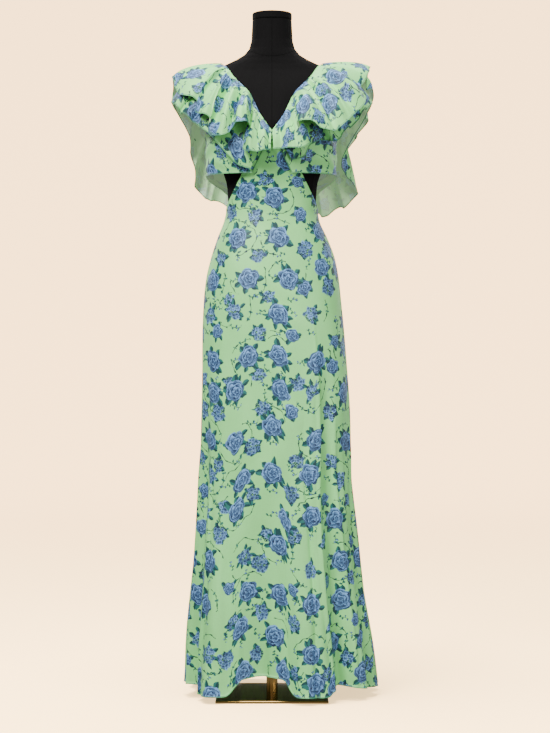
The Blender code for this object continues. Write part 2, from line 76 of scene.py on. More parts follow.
# The columns in LENGTHS are lengths, turns are degrees, and a root is a share of the neckline
Section = namedtuple("Section", "height left right front back")
Mark = namedtuple("Mark", "height turn")
Fold = namedtuple("Fold", "turn width rise start lean")
Hem = namedtuple("Hem", "turn height")
Edge = namedtuple("Edge", "root x y z puff")
Flute = namedtuple("Flute", "at half rise lift pinch")
Crease = namedtuple("Crease", "turn width rise low high lean")
Pleat = namedtuple("Pleat", "root width rise")
LENGTHS = set("height left right front back start x y z puff at half rise lift low high".split())


def table(kind, text):
    """Rows of a table, one after another along each line, with their lengths in millimetres."""
    units = [1000 if name in LENGTHS else 1 for name in kind._fields]
    numbers = [float(word) for word in text.split()]
    rows = (numbers[i : i + len(units)] for i in range(0, len(numbers), len(units)))
    return tuple(kind(*(number / unit for number, unit in zip(row, units))) for row in rows)


FORM = table(
    Section, """
     870 124 124  80  90    885 137 137  91 103
     940 147 147 101 115   1000 143 143 101 112
    1060 128 128  94  94   1110 111 111  84  80
    1150 104 104  79  74   1200 106 106  86  78
    1250 120 120 104  84   1290 136 136 116  90
    1340 148 148 108  94
    """
)
BODICE = table(
    Section, """
    1145 106.5 106.5    82 76.5   1190   115   115    90   83
    1228   156   152 104.5  100   1290   157   153   122  100
    1340   159   158   114  104   1390   165   165    94  100
    1430 168.5 168.5  77.5 91.5   1455   162   162    67   80
    1475 143.5 143.5    58   68   1490 120.5 120.5    54   60
    1505  88.5  88.5    52   56
    """
)
SKIRT = table(
    Section, """
    1330   138   138  100   90   1145 108.5 108.5 82.8 78.5
    1126   112   111   85   83   1078   130   132   98   98
    1031   145   149  107  114    983   156   158  113  124
     936   161   163  117  130    841   165   172  121  136
     699   166   182  124  142    509   171   187  127  152
     366   180   200  131  166    224   191   216  136  182
     129   197   229  139  192     10   202   243  143  204
    """
)
FOLDS = table(
    Fold, """
     -84 10  10 620    0    -63  9 -22 850    0
     -38 17  26 750 -0.3     -7 17 -28 420    0
      19 12  28 600  0.1     29  7  14 900  0.2
      42  9 -30 900    0     56  8  12 550  0.3
      68  7 -10 500    0     86 10  10 600    0
     108 14  22 700  0.2    128 11 -20 650    0
     150 15  32 850 -0.4    171 12 -18 600    0
    -168 13  28 750  0.5   -146 12 -22 700    0
    -124 14  28 800 -0.3   -104 10 -12 550    0
    """
)
HEM = table(
    Hem, """
    -180 20   -125 18    -85 34    -62 30    -52 15    -30 16
     -19 56     -6 62      6 56     13 18     29 16     38 37
      56 28     84 22    125 18    180 20
    """
)
INSERT = table(
    Mark, """
    1145 89.5   1156   74   1185   53   1235   32   1280   16   1318    3
    """
)
LAP = table(
    Mark, """
      1228  17     1275 8.2   1321.5 0.5
    """
)
FRONT_NECK = table(
    Mark, """
    1321.5  0.5     1360  9.5     1412 17.5     1450   30     1480   47     1494   90
    """
)
BACK_NECKLINE = table(
    Mark, """
    1400  0.5   1422   16   1460 31.5   1480   47   1494   90
    """
)
BACK_WING = table(
    Mark, """
    1145   56   1178   58   1195   74   1228 89.4
    """
)
UPPER_LEFT = table(
    Edge, """
       0   3 -148 1277 16    0.2  32 -160 1272 18
    0.34  56 -158 1271 20   0.42  67 -136 1283 20
    0.46  50 -152 1325 22   0.52  61 -168 1338 24
    0.58  80 -164 1338 24    0.6  91 -142 1327 22
     0.7 118 -148 1307 24   0.79 148 -122 1328 26
    0.82 140 -130 1346 28   0.86 156 -138 1361 30
     0.9 177  -98 1370 28   0.93 172  -94 1388 28
    0.95 190 -100 1408 28   0.97 214  -70 1413 28
    0.99 230  -30 1442 26      1 236    0 1466 24
    1.03 234   30 1424 42   1.08 214   52 1372 48
    1.14 194   72 1340 50   1.22 182  107 1318 48
     1.4 150  133 1302 42   1.62 100  153 1290 38
       2 1.5  158 1284 34
    """
)
UPPER_RIGHT = table(
    Edge, """
       0   3 -148 1277 16   0.16  34 -154 1280 18
    0.32  66 -162 1280 20   0.42  90 -138 1296 22
    0.46  72 -150 1312 22    0.5  58 -164 1338 24
    0.55  84 -172 1341 26   0.62 112 -170 1321 26
     0.7 140 -160 1320 26   0.77 163 -138 1334 26
    0.84 188 -114 1362 28    0.9 213  -86 1388 28
    0.93 220  -58 1416 28   0.95 205  -56 1428 26
    0.97 220  -54 1452 26   0.99 229  -24 1476 24
       1 232    0 1488 22   1.03 222   30 1430 44
    1.08 223   52 1358 50   1.14 198   76 1330 50
    1.22 190  116 1306 48    1.4 152  133 1292 42
    1.62 100  153 1286 38      2 1.5  158 1284 34
    """
)
LOWER_LEFT = table(
    Edge, """
       0  50 -110 1236 14    0.2  78 -114 1245 16
    0.38 110 -114 1276 16   0.56 140 -106 1311 18
    0.72 178  -86 1344 22   0.86 206  -64 1362 24
    0.94 226  -40 1390 22      1 238    0 1404 26
    1.04 220   28 1374 32    1.1 196   52 1326 38
    1.17 197   76 1282 38   1.24 181   94 1254 34
    1.32 192  110 1210 32   1.42 172  124 1190 26
    1.58 130  138 1172 16   1.78  70  148 1156 10
       2 1.5  152 1150  6
    """
)
LOWER_RIGHT = table(
    Edge, """
       0  46 -117 1256 14   0.14  72 -121 1262 16
    0.26  90 -112 1292 18   0.42 122 -104 1304 18
    0.54 146 -114 1299 20   0.66 168  -94 1320 22
     0.8 200  -72 1352 24   0.92 226  -40 1386 22
       1 238    0 1402 26   1.05 214   24 1360 34
     1.1 182   40 1304 44   1.15 160   56 1256 42
    1.19 182   60 1226 42   1.23 213   84 1199 42
     1.3 198  112 1180 32   1.42 170  128 1160 24
    1.56 126  140 1140 14   1.78  70  148 1150 10
       2 1.5  152 1150  6
    """
)
UPPER_LEFT_FLUTES = table(
    Flute, """
    640 30 20  8 0.5   705 26 26 10 0.6
    765 26 28 12 0.6   825 28 28 10 0.6
    880 22 24 10 0.5
    """
)
UPPER_RIGHT_FLUTES = table(
    Flute, """
    620 30 22 10 0.5   685 28 26 10 0.6
    745 24 28 14 0.6   805 28 26 10 0.6
    """
)
LOWER_LEFT_FLUTES = table(
    Flute, """
    205 20 12 4 0.4   250 18 12 4 0.4
    560 26 18 8 0.5   620 26 20 6 0.5
    680 26 20 8 0.5
    """
)
LOWER_RIGHT_FLUTES = table(
    Flute, """
    165 16 10 2 0.4   235 18 12 6 0.4
    600 26 20 6 0.5   660 26 20 8 0.5
    720 24 18 6 0.5
    """
)

# Pleats that fan out from the neckline: the share of it where each springs, half width and rise
UPPER_LEFT_PLEATS = table(
    Pleat, """
    0.035  0.02   -4    0.11  0.05    3    0.21 0.045 -4.5    0.31  0.05  4.5
    0.435  0.03   -6    0.51  0.05    8    0.62  0.03   -7    0.69 0.045    6
    0.752 0.026 -6.5     0.8 0.034    7   0.872 0.024 -7.5   0.915 0.024    8
    0.952 0.018 -7.5
    """
)
UPPER_RIGHT_PLEATS = table(
    Pleat, """
     0.04 0.022  3.5   0.105 0.035   -4    0.19 0.045    4    0.29  0.04 -4.5
     0.38 0.045    5   0.475  0.03   -7    0.59  0.07    9   0.715 0.032   -8
     0.78  0.04  6.5    0.85 0.028 -7.5   0.905 0.028  7.5   0.948  0.02 -7.5
    """
)

BACK_PLEATS = table(
    Pleat, """
     1.05  0.03    5    1.11 0.035   -6    1.18 0.045    8   1.255  0.04   -6
     1.33 0.045  8.5    1.41  0.04   -6   1.485 0.048    8    1.57 0.044 -5.5
     1.65  0.05  7.5   1.735 0.046   -5   1.815 0.048    7     1.9 0.046 -4.5
    1.965 0.032    5
    """
)

# Fine creases of the skirt: turn, half width in degrees, rise, the heights they run between, lean
CREASES = table(
    Crease, """
     -52 3.5    3 20 700 -0.2    -30   4 -2.6 20 500    0
     -21   3    2 20 360  0.1     -1 3.6  2.2 20 300    0
       8   3 -2.2 20 440    0     13 2.6  2.4 20 360  0.1
      24 2.2   -3 20 720    0     33 2.2  3.4 20 980  0.3
      50   3    3 20 740  0.2     63   3 -2.6 20 660    0
      76   4    3 20 800    0    -74   4  2.8 20 760    0
      98   5 -3.4 20 800    0    118 4.4  3.6 20 740  0.1
     138 4.4  3.4 20 880  0.1    160 4.4 -3.6 20 700    0
     178   4    3 20 800    0   -157 4.4 -3.4 20 740    0
    -136   4  3.4 20 660 -0.1   -115 4.4  3.4 20 840    0
     -95   4 -2.8 20 700    0
    """
)


# ---- how the cloth is shaped


def curve(x, y, at):
    """The value at any place along a curve through given points, with no overshoot."""
    step = np.diff(x)
    slope = np.diff(y) / step
    tangent = np.concatenate([slope[:1], np.zeros(len(x) - 2), slope[-1:]])
    same_way = slope[:-1] * slope[1:] > 0
    before, after = slope[:-1][same_way], slope[1:][same_way]
    tangent[1:-1][same_way] = 2 * before * after / (before + after)
    at = np.clip(np.asarray(at, float), x[0], x[-1])
    i = np.clip(np.searchsorted(x, at, side="right") - 1, 0, len(x) - 2)
    t = (at - x[i]) / step[i]
    value = y[i] * (1 + 2 * t) * (1 - t) ** 2 + y[i + 1] * t * t * (3 - 2 * t)
    return value + step[i] * t * (1 - t) * (tangent[i] * (1 - t) - tangent[i + 1] * t)


def column(rows, key, name, at):
    """Column `name` of a table at any value of its column `key`."""
    pairs = sorted((getattr(row, key), getattr(row, name)) for row in rows)
    x, y = np.array(pairs, float).T
    return curve(x, y, at)


def mix(a, b, share):
    return a + (b - a) * share


def unit(vectors):
    return vectors / np.maximum(np.linalg.norm(vectors, axis=-1, keepdims=True), 1e-9)


def sides(rows, angle, height, out=0.0):
    """Half width and depth of a section at each angle (0 at +X, 90 degrees at the back)."""
    left, right = (column(rows, "height", name, height) for name in ("left", "right"))
    front, back = (column(rows, "height", name, height) for name in ("front", "back"))
    half = np.where(np.cos(angle) < 0, left, right) + out
    depth = np.where(np.sin(angle) < 0, front, back) + out
    return half, depth


def on_ring(half, depth, angle, height):
    c, s = np.cos(angle), np.sin(angle)
    reach = (np.abs(c) ** ROUNDNESS + np.abs(s) ** ROUNDNESS) ** (-1 / ROUNDNESS)
    return np.stack([half * c * reach, depth * s * reach, height + 0 * angle], axis=-1)


def bump(distance):
    """1 at 0, easing to 0 at a distance of 1."""
    return np.cos(np.pi / 2 * np.clip(np.abs(distance), 0, 1)) ** 2


def ease(value, low, high):
    """0 at low, 1 at high, and smooth between them."""
    t = np.clip((value - low) / (high - low), 0, 1)
    return t * t * (3 - 2 * t)


def outward(point, half, depth):
    """The level way out from a body section at a point of it."""
    return unit(point / np.stack([half**2, depth**2, 1 + 0 * half], axis=-1) * (1, 1, 0))


def skirt_point(turn, height, cloth):
    """A point of the skirt's inner face. The folds grow from their start down to the hem."""
    angle = np.radians(turn - 90)
    half, depth = sides(SKIRT, angle, height)
    form_half, form_depth = sides(FORM, angle, height, EASE)
    over_form = height > FORM_BOTTOM
    half = np.where(over_form, np.maximum(half, form_half), half)
    depth = np.where(over_form, np.maximum(depth, form_depth), depth)
    point = on_ring(half, depth, angle, height)
    out = outward(point, half, depth)
    along = np.stack([-out[..., 1], out[..., 0], 0 * half], axis=-1)
    for fold in FOLDS:
        away = (turn - fold.turn + 180) % 360 - 180
        grown = np.clip((fold.start - height) / fold.start, 0, 1) ** 1.25
        rise = (fold.rise * bump(away / fold.width) * grown)[..., None]
        point = point + out * rise + along * rise * fold.lean
    for crease in CREASES:
        away = (turn - crease.turn + 180) % 360 - 180
        sway = 1.4 * np.sin(height * 9 + crease.turn)
        grown = ease(height, crease.high, crease.high * 0.55)
        rise = cloth.crease_depth * crease.rise * bump((away - sway) / crease.width) * grown
        point = point + (out + along * crease.lean) * rise[..., None]
    # Slack across the lap and the hips, where the cloth is drawn lightly from side to side
    pull = np.sin(height * 92 + 2.2 * np.sin(turn * 0.055) + 0.02 * turn)
    soft = bump((height - 0.93) / 0.17) * bump((turn - 6) / 60)
    soft = soft + 0.9 * bump((height - 1.13) / 0.05) * bump(turn / 90)
    ripple = 0.5 + 0.5 * np.sin(turn * 0.11 + height * 21)
    point = point + out * (cloth.crease_depth * 0.0005 * pull * soft * ripple)[..., None]
    slack = np.sin(turn * 0.21 + 3 * np.sin(height * 5.1)) * np.sin(height * 13 + turn * 0.03)
    low = ease(height, 0.98, 0.5)
    return point + out * (cloth.crease_depth * 0.0012 * slack * low)[..., None]


def neck_root(share, side, out):
    """The neckline, where the tiers are sewn on, and the way out from the body there."""
    in_front = share <= 1
    rise = np.where(in_front, share, 2 - share)
    height = mix(np.where(in_front, NECK_POINT, BACK_NECK), SHOULDER, rise)
    turn = np.where(
        in_front,
        column(FRONT_NECK, "height", "turn", height),
        column(BACK_NECKLINE, "height", "turn", height),
    )
    angle = np.radians(np.where(in_front, turn - 90, 90 - turn))
    half, depth = sides(BODICE, angle, height)
    root = on_ring(half, depth, angle, height)
    away = unit(outward(root, half, depth) + (0, 0, OUTWARD_LIFT)) * (side, 1, 1)
    return root * (side, 1, 1) + away * out, away


def edge_lengths(edge):
    """How far along a tier's edge each row of its table lies."""
    points = np.array([(row.x, row.y, row.z) for row in edge])
    return np.concatenate([[0], np.cumsum(np.linalg.norm(np.diff(points, axis=0), axis=1))])


def edge_point(reach, rows, at):
    return np.stack([curve(reach, rows[:, k], at) for k in (1, 2, 3)], axis=-1)


def softened(reach, rows, at, spread):
    """A tier's edge, evened out over a distance to each side."""
    steps = np.linspace(-1, 1, 7)
    weights = bump(steps / 1.2)
    total = 0.0
    for step, weight in zip(steps, weights / weights.sum()):
        place = at + step * np.minimum(spread, np.minimum(at, reach[-1] - at))
        total = total + weight * edge_point(reach, rows, place)
    return total


def tier_point(at, down, side, edge, flutes, pleats, out, cloth):
    """A point of a tier's inner face: along its edge, and down from seam (0) to edge (1)."""
    reach, rows = edge_lengths(edge), np.array(edge)
    root, puff = (curve(reach, rows[:, k], at) for k in (0, 4))
    root = np.where(root <= 1, root * (1 - SEAM_SHARE), 2 - (2 - root) * (1 - SEAM_SHARE))
    start, away = neck_root(root, side, out)
    back = ease(root, 1.0, 1.08)
    front_edge, back_edge, broad = (
        softened(reach, rows, at, spread) for spread in (FRONT_SPREAD, BACK_SPREAD, BROAD_SPREAD)
    )
    lower = mix(front_edge, back_edge, back[..., None]) * (side, 1, 1)
    broad = broad * (side, 1, 1)
    ahead, behind = (edge_point(reach, rows, at + step) for step in (0.03, -0.03))
    along = unit((ahead - behind) * (side, 1, 1))
    t = down[..., None]
    bow = puff * mix(cloth.front_bow, 1.0, ease(root, 1.0, 1.12))
    point = mix(start, broad, t) + (lower - broad) * t**cloth.fold_reach
    point = point + away * bow[..., None] * 4 * t * (1 - t)
    calm = 1 - BACK_CALM * back
    for flute in flutes:
        place = (at - flute.at) / flute.half
        grown = down**1.2
        inside = np.where(np.abs(place) < 1, np.sin(np.pi * place) * (1 - place**2), 0)
        slide = flute.pinch * flute.half * inside * grown * calm
        point = point + away * (flute.rise * bump(place) * grown)[..., None]
        point = point + along * slide[..., None]
        point[..., 2] += flute.lift * bump(place) * down**2 * calm
    fan = ease(down, 0.0, 0.30) * (1 - 0.6 * ease(down, 0.65, 1.0))
    for pleat in pleats:
        rise = pleat.rise * cloth.pleat_depth * bump((root - pleat.root) / pleat.width) ** 0.8 * fan
        point = point + away * rise[..., None]
    # Small gathers that spring from the seam, and an uneven flutter along the edge
    gather = np.sin(root * 96 + 2.1 * np.sin(root * 17)) + 0.5 * np.sin(root * 171 + 1)
    held = ease(down, 0.0, 0.10) * ease(down, 0.62, 0.12)
    flutter = np.sin(at * 118 + 1.7 * np.sin(at * 37)) + 0.6 * np.sin(at * 211 + 2)
    loose = ease(down, 0.35, 1.0)
    shift = cloth.gather_depth * gather * held + cloth.flutter_depth * flutter * loose
    return point + away * shift[..., None]


def armhole(height):
    """How far the armhole cuts back the side edge, in degrees of turn."""
    share = np.clip((height - ARMHOLE_LOW) / (ARMHOLE_HIGH - ARMHOLE_LOW), 0, 1)
    return ARMHOLE_TURN * np.sin(np.pi * share) ** 0.8


# ---- making a sewn piece


def lengths(points, axis):
    """Distance travelled along a grid of points, from its first row or column."""
    step = np.linalg.norm(np.diff(points, axis=axis), axis=-1)
    start = np.zeros_like(np.take(step, [0], axis=axis))
    return np.concatenate([start, np.cumsum(step, axis=axis)], axis=axis)


def laid_flat(points, straight):
    """Where each point lies on the flat cloth: its grain follows one straight column."""
    across = lengths(points, 1)
    down = lengths(points, 0)[:, straight]
    across = across - across[:, [straight]]
    return np.stack([across, down[:, None] + 0 * across], axis=-1)


def laid_round(points):
    """Where each point lies on the flat cloth of a flounce, which is cut as part of a ring."""
    across, down = lengths(points, 1), lengths(points, 0)
    first, last = across[0, -1], across[-1, -1]
    depth = down[-1].mean()
    inner = depth * first / max(last - first, 0.2 * first)
    angle = first / inner * (across / across[:, -1:] - 0.5)
    radius = inner + down
    return np.stack([radius * np.sin(angle), -radius * np.cos(angle)], axis=-1)


def turned(flat, angle, shift):
    """The same cut, turned on the bolt and moved to its own stretch of the print."""
    x, y = flat[..., 0], flat[..., 1]
    c, s = np.cos(np.radians(angle)), np.sin(np.radians(angle))
    return np.stack([x * c - y * s, x * s + y * c], axis=-1) + shift


def sewn(name, points, flat, edge, cloth, grain=0.0, bolt=(0.0, 0.0)):
    """A sewn piece: its inner face, its outer face one thickness away, and a rim between them.

    `edge` is each point's distance from the nearest hem, where the cloth is rolled thicker.
    """
    rows, columns = points.shape[:2]
    normal = unit(np.cross(np.gradient(points, axis=1), np.gradient(points, axis=0)))
    roll = ease(edge, cloth.hem_width, cloth.hem_width * 0.6)
    thick = mix(cloth.thickness, cloth.hem_thickness, roll)[..., None]
    outer = points + normal * thick
    count = rows * columns
    number = np.arange(count).reshape(rows, columns)
    quads = np.stack([number[:-1, :-1], number[:-1, 1:], number[1:, 1:], number[1:, :-1]], -1)
    quads = quads.reshape(-1, 4)
    loop = np.concatenate([number[0, :-1], number[:-1, -1], number[-1, :0:-1], number[:0:-1, 0]])
    after = np.roll(loop, -1)
    rim = np.stack([after, loop, loop + count, after + count], -1)
    faces = np.concatenate([quads + count, quads[:, ::-1], rim])
    mesh = bpy.data.meshes.new(name)
    corners = np.concatenate([points, outer]).reshape(-1, 3)
    mesh.from_pydata(corners.tolist(), [], faces.tolist())
    mesh.materials.append(printed_cloth(False))
    mesh.materials.append(printed_cloth(True))
    side = np.zeros(len(faces), np.int32)
    side[len(quads) : 2 * len(quads)] = 1
    mesh.polygons.foreach_set("material_index", side)
    mesh.shade_smooth()
    vertex = np.empty(len(mesh.loops), np.int32)
    mesh.loops.foreach_get("vertex_index", vertex)
    flat = turned(flat, grain, bolt)
    hem = np.stack([edge, lengths(points, 0)], -1)
    for label, values in (("cloth", flat), ("hem", hem)):
        layer = mesh.uv_layers.new(name=label)
        layer.uv.foreach_set("vector", values.reshape(-1, 2)[vertex % count].astype(np.float32).ravel())
    piece = bpy.data.objects.new(name + "_cloth", mesh)
    bpy.context.scene.collection.objects.link(piece)
    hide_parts(name)
    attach(piece, BODY)
    return piece


# ---- node trees


class Signal:
    """A value in a shader tree that can be added, scaled and compared like a number."""

    def __init__(self, socket):
        self.tree, self.socket = socket.id_data, socket

    def math(self, operation, *others):
        made = node(self.tree, "Math", operation=operation)
        for socket, value in zip(made.inputs, (self, *others)):
            feed(socket, value)
        return Signal(made.outputs[0])

    __add__ = __radd__ = partialmethod(math, "ADD")
    __sub__ = partialmethod(math, "SUBTRACT")
    __rsub__ = partialmethod(math, "MULTIPLY_ADD", -1.0)
    __mul__ = __rmul__ = partialmethod(math, "MULTIPLY")
    __truediv__ = partialmethod(math, "DIVIDE")
    __lt__ = partialmethod(math, "LESS_THAN")
    __gt__ = partialmethod(math, "GREATER_THAN")
    __abs__ = partialmethod(math, "ABSOLUTE")


def feed(socket, value):
    """Links a signal to a socket, or sets its value."""
    if isinstance(value, Signal):
        value.tree.links.new(value.socket, socket)
    else:
        socket.default_value = value


def node(tree, kind, inputs=(), **settings):
    """A node with its settings and its inputs, given by name."""
    made = tree.nodes.new("ShaderNode" + kind)
    for key, value in settings.items():
        setattr(made, key, value)
    for key, value in dict(inputs).items():
        feed(made.inputs[key], value)
    return made


def vector_math(operation, a, b=None, scale=None, out=0):
    made = node(a.tree, "VectorMath", operation=operation)
    feed(made.inputs[0], a)
    if b is not None:
        feed(made.inputs[1], b)
    if scale is not None:
        feed(made.inputs[3], scale)
    return Signal(made.outputs[out])


def scaled(vector, amount):
    return vector_math("SCALE", vector, scale=amount)


def split(vector):
    made = node(vector.tree, "SeparateXYZ", {"Vector": vector})
    return [Signal(made.outputs[i]) for i in range(3)]


def smooth(value, low, high):
    limits = {"Value": value, "From Min": low, "From Max": high}
    made = node(value.tree, "MapRange", limits, interpolation_type="SMOOTHSTEP")
    return Signal(made.outputs["Result"])


def noise(vector, scale, detail=2.0, rough=0.5, dimensions="3D"):
    """An uneven value and an uneven colour."""
    inputs = {"Vector": vector, "Scale": scale, "Detail": detail, "Roughness": rough}
    made = node(vector.tree, "TexNoise", inputs, noise_dimensions=dimensions)
    return [Signal(socket) for socket in made.outputs]


def joined(x, y, z):
    return Signal(node(x.tree, "CombineXYZ", {"X": x, "Y": y, "Z": z}).outputs[0])


def paint(mask, under, over, way="MIX"):
    """The colour `over` laid on `under` where the mask is 1."""
    tree = next(value.tree for value in (mask, under, over) if isinstance(value, Signal))
    made = node(tree, "Mix", data_type="RGBA", blend_type=way)
    for index, value in ((0, mask), (6, under), (7, over)):
        feed(made.inputs[index], value)
    return Signal(made.outputs[2])


def three_tones(tone, deep, middle, light):
    lower = paint(smooth(tone, 0.0, 0.5), deep, middle)
    return paint(smooth(tone, 0.5, 1.0), lower, light)


def new_group(name, inputs, outputs):
    """A shader group with named sockets, and its inputs as signals."""
    tree = bpy.data.node_groups.new(name, "ShaderNodeTree")
    for label, kind, default in inputs:
        socket = tree.interface.new_socket(label, in_out="INPUT", socket_type="NodeSocket" + kind)
        if default is not None:
            socket.default_value = default
    for label, kind in outputs:
        tree.interface.new_socket(label, in_out="OUTPUT", socket_type="NodeSocket" + kind)
    entry = tree.nodes.new("NodeGroupInput")
    return tree, [Signal(entry.outputs[label]) for label, kind, default in inputs]


def give(tree, **values):
    leave = tree.nodes.new("NodeGroupOutput")
    for label, value in values.items():
        feed(leave.inputs[label], value)


def use(tree, group, **values):
    """A group placed in a material's tree; returns its outputs by name."""
    made = tree.nodes.new("ShaderNodeGroup")
    made.node_tree = group
    for label, value in values.items():
        feed(made.inputs[label.replace("_", " ")], value)
    return {socket.name: Signal(socket) for socket in made.outputs}


# ---- the print, in millimetres

FULL_TURN = 2 * np.pi
SPACING = 92.0  # between two full roses
FLORET = 9.4  # across one small blossom
ARC = 43.0  # radius of the thin stems round a rose
INKS = ("Ground", "Ground Deep", "Petal Light", "Petal", "Petal Deep", "Leaf", "Leaf Deep", "Stem")


def nearest(place, loose):
    """The nearest point of a loose lattice, and its own random numbers."""
    inputs = {"Vector": place, "Scale": 1.0, "Randomness": loose}
    made = node(place.tree, "TexVoronoi", inputs, voronoi_dimensions="2D")
    return Signal(made.outputs["Position"]), split(Signal(made.outputs["Color"]))


def scattered(place, shift, loose):
    """The nearest of a loose lattice of places: the way from it, and its own random numbers."""
    lattice = vector_math("ADD", scaled(place, 1 / SPACING), (*shift, 0.0))
    middle, luck = nearest(lattice, loose)
    away = scaled(vector_math("SUBTRACT", lattice, middle), SPACING)
    centre = scaled(vector_math("SUBTRACT", middle, (*shift, 0.0)), SPACING)
    return away, centre, luck


def drawn_lot(number):
    """A random share that belongs to a number."""
    made = node(number.tree, "TexWhiteNoise", {"W": number}, noise_dimensions="1D")
    return Signal(made.outputs["Value"])


def polar(away, turn):
    x, y, _ = split(away)
    radius = vector_math("LENGTH", away, out=1)
    return radius, y.math("ARCTAN2", x) + turn, y


def leaves(radius, angle, count, middle, half_length, half_width, luck, present):
    """A ring of pointed leaves: mask and tone. Only a share of them is there."""
    sector = angle * (count / FULL_TURN)
    index = sector.math("FLOOR")
    bend = (sector - index - 0.5) * (FULL_TURN / count)
    lot = drawn_lot(index + luck * 57.0)
    u = (radius * bend.math("COSINE") - middle) / (half_length * (lot * 0.4 + 0.8))
    v = radius * bend.math("SINE")
    width = (1.0 - u * u) * half_width
    inside = (abs(v) < width) * (lot < present)
    tone = smooth(v, -1.2, 1.2) * 0.55 + smooth(abs(v), 0.0, 1.1) * 0.45
    return inside, tone


def rose(away, luck, size, texture):
    """A full rose of layered petals: mask, tone, and the radius and angle about its middle."""
    radius, angle, rise = polar(away, luck[0] * FULL_TURN)
    lobes = abs((angle * 2.5 + luck[1] * 9).math("SINE")).math("POWER", 0.6)
    reach = size * (lobes * 0.17 + 0.84)
    share = radius / reach
    petals = abs((angle * 2.5 + share * 7.0 + luck[2] * 5).math("SINE"))
    band = (share * 3.1 + angle / FULL_TURN + petals * 0.42 + texture * 0.30).math("FRACT")
    tone = band * 0.86 - 0.06 + smooth(share, 0.0, 0.4) * 0.16 + (texture - 0.5) * 0.9
    tone = tone + (rise / size) * 0.16 - smooth(band, 0.24, 0.06) * 0.5
    return share < 1.0, tone, radius, angle


def cluster(place, centre, reach):
    """A head of small five-petalled blossoms: mask and tone."""
    middle, luck = nearest(scaled(place, 1 / FLORET), 0.7)
    middle = scaled(middle, FLORET)
    off = vector_math("SUBTRACT", middle, centre)
    inside = vector_math("LENGTH", off, out=1) < reach
    away = vector_math("SUBTRACT", place, middle)
    radius, angle, _ = polar(away, luck[0] * FULL_TURN)
    petal = FLORET * 0.62 * (abs((angle * 2.5).math("COSINE")) * 0.42 + 0.58)
    tone = luck[1] * 0.36 + smooth(radius, 0.6, 4.0) * 0.62 - 0.04
    return inside * (radius < petal), tone


def sprig(away, luck, texture):
    """A thin stem with paired leaves and buds: leaf mask, bud mask and stem mask."""
    inputs = {"Vector": away, "Angle": luck[0] * FULL_TURN}
    turn = node(away.tree, "VectorRotate", inputs, rotation_type="Z_AXIS")
    x, y, _ = split(Signal(turn.outputs[0]))
    y = y - x * x * 0.012 + (texture - 0.5) * 2.0
    half = luck[1] * 6.0 + 10.0
    beside = (x / 6.0).math("FLOOR")
    u = (x / 6.0 - beside - 0.5) * 6.0
    even = (beside * 0.5).math("FRACT") < 0.25
    side = even * 2.0 - 1.0
    v = y * side - 3.0
    inside = abs(x) < half
    blob = (u * u / 4.6 + v * v / 6.6) < 1.0
    stem = (abs(y) < 0.62) * inside
    bud = blob * inside * (x > half * 0.2)
    leaf = blob * inside * (x < half * 0.2)
    return leaf, bud, stem


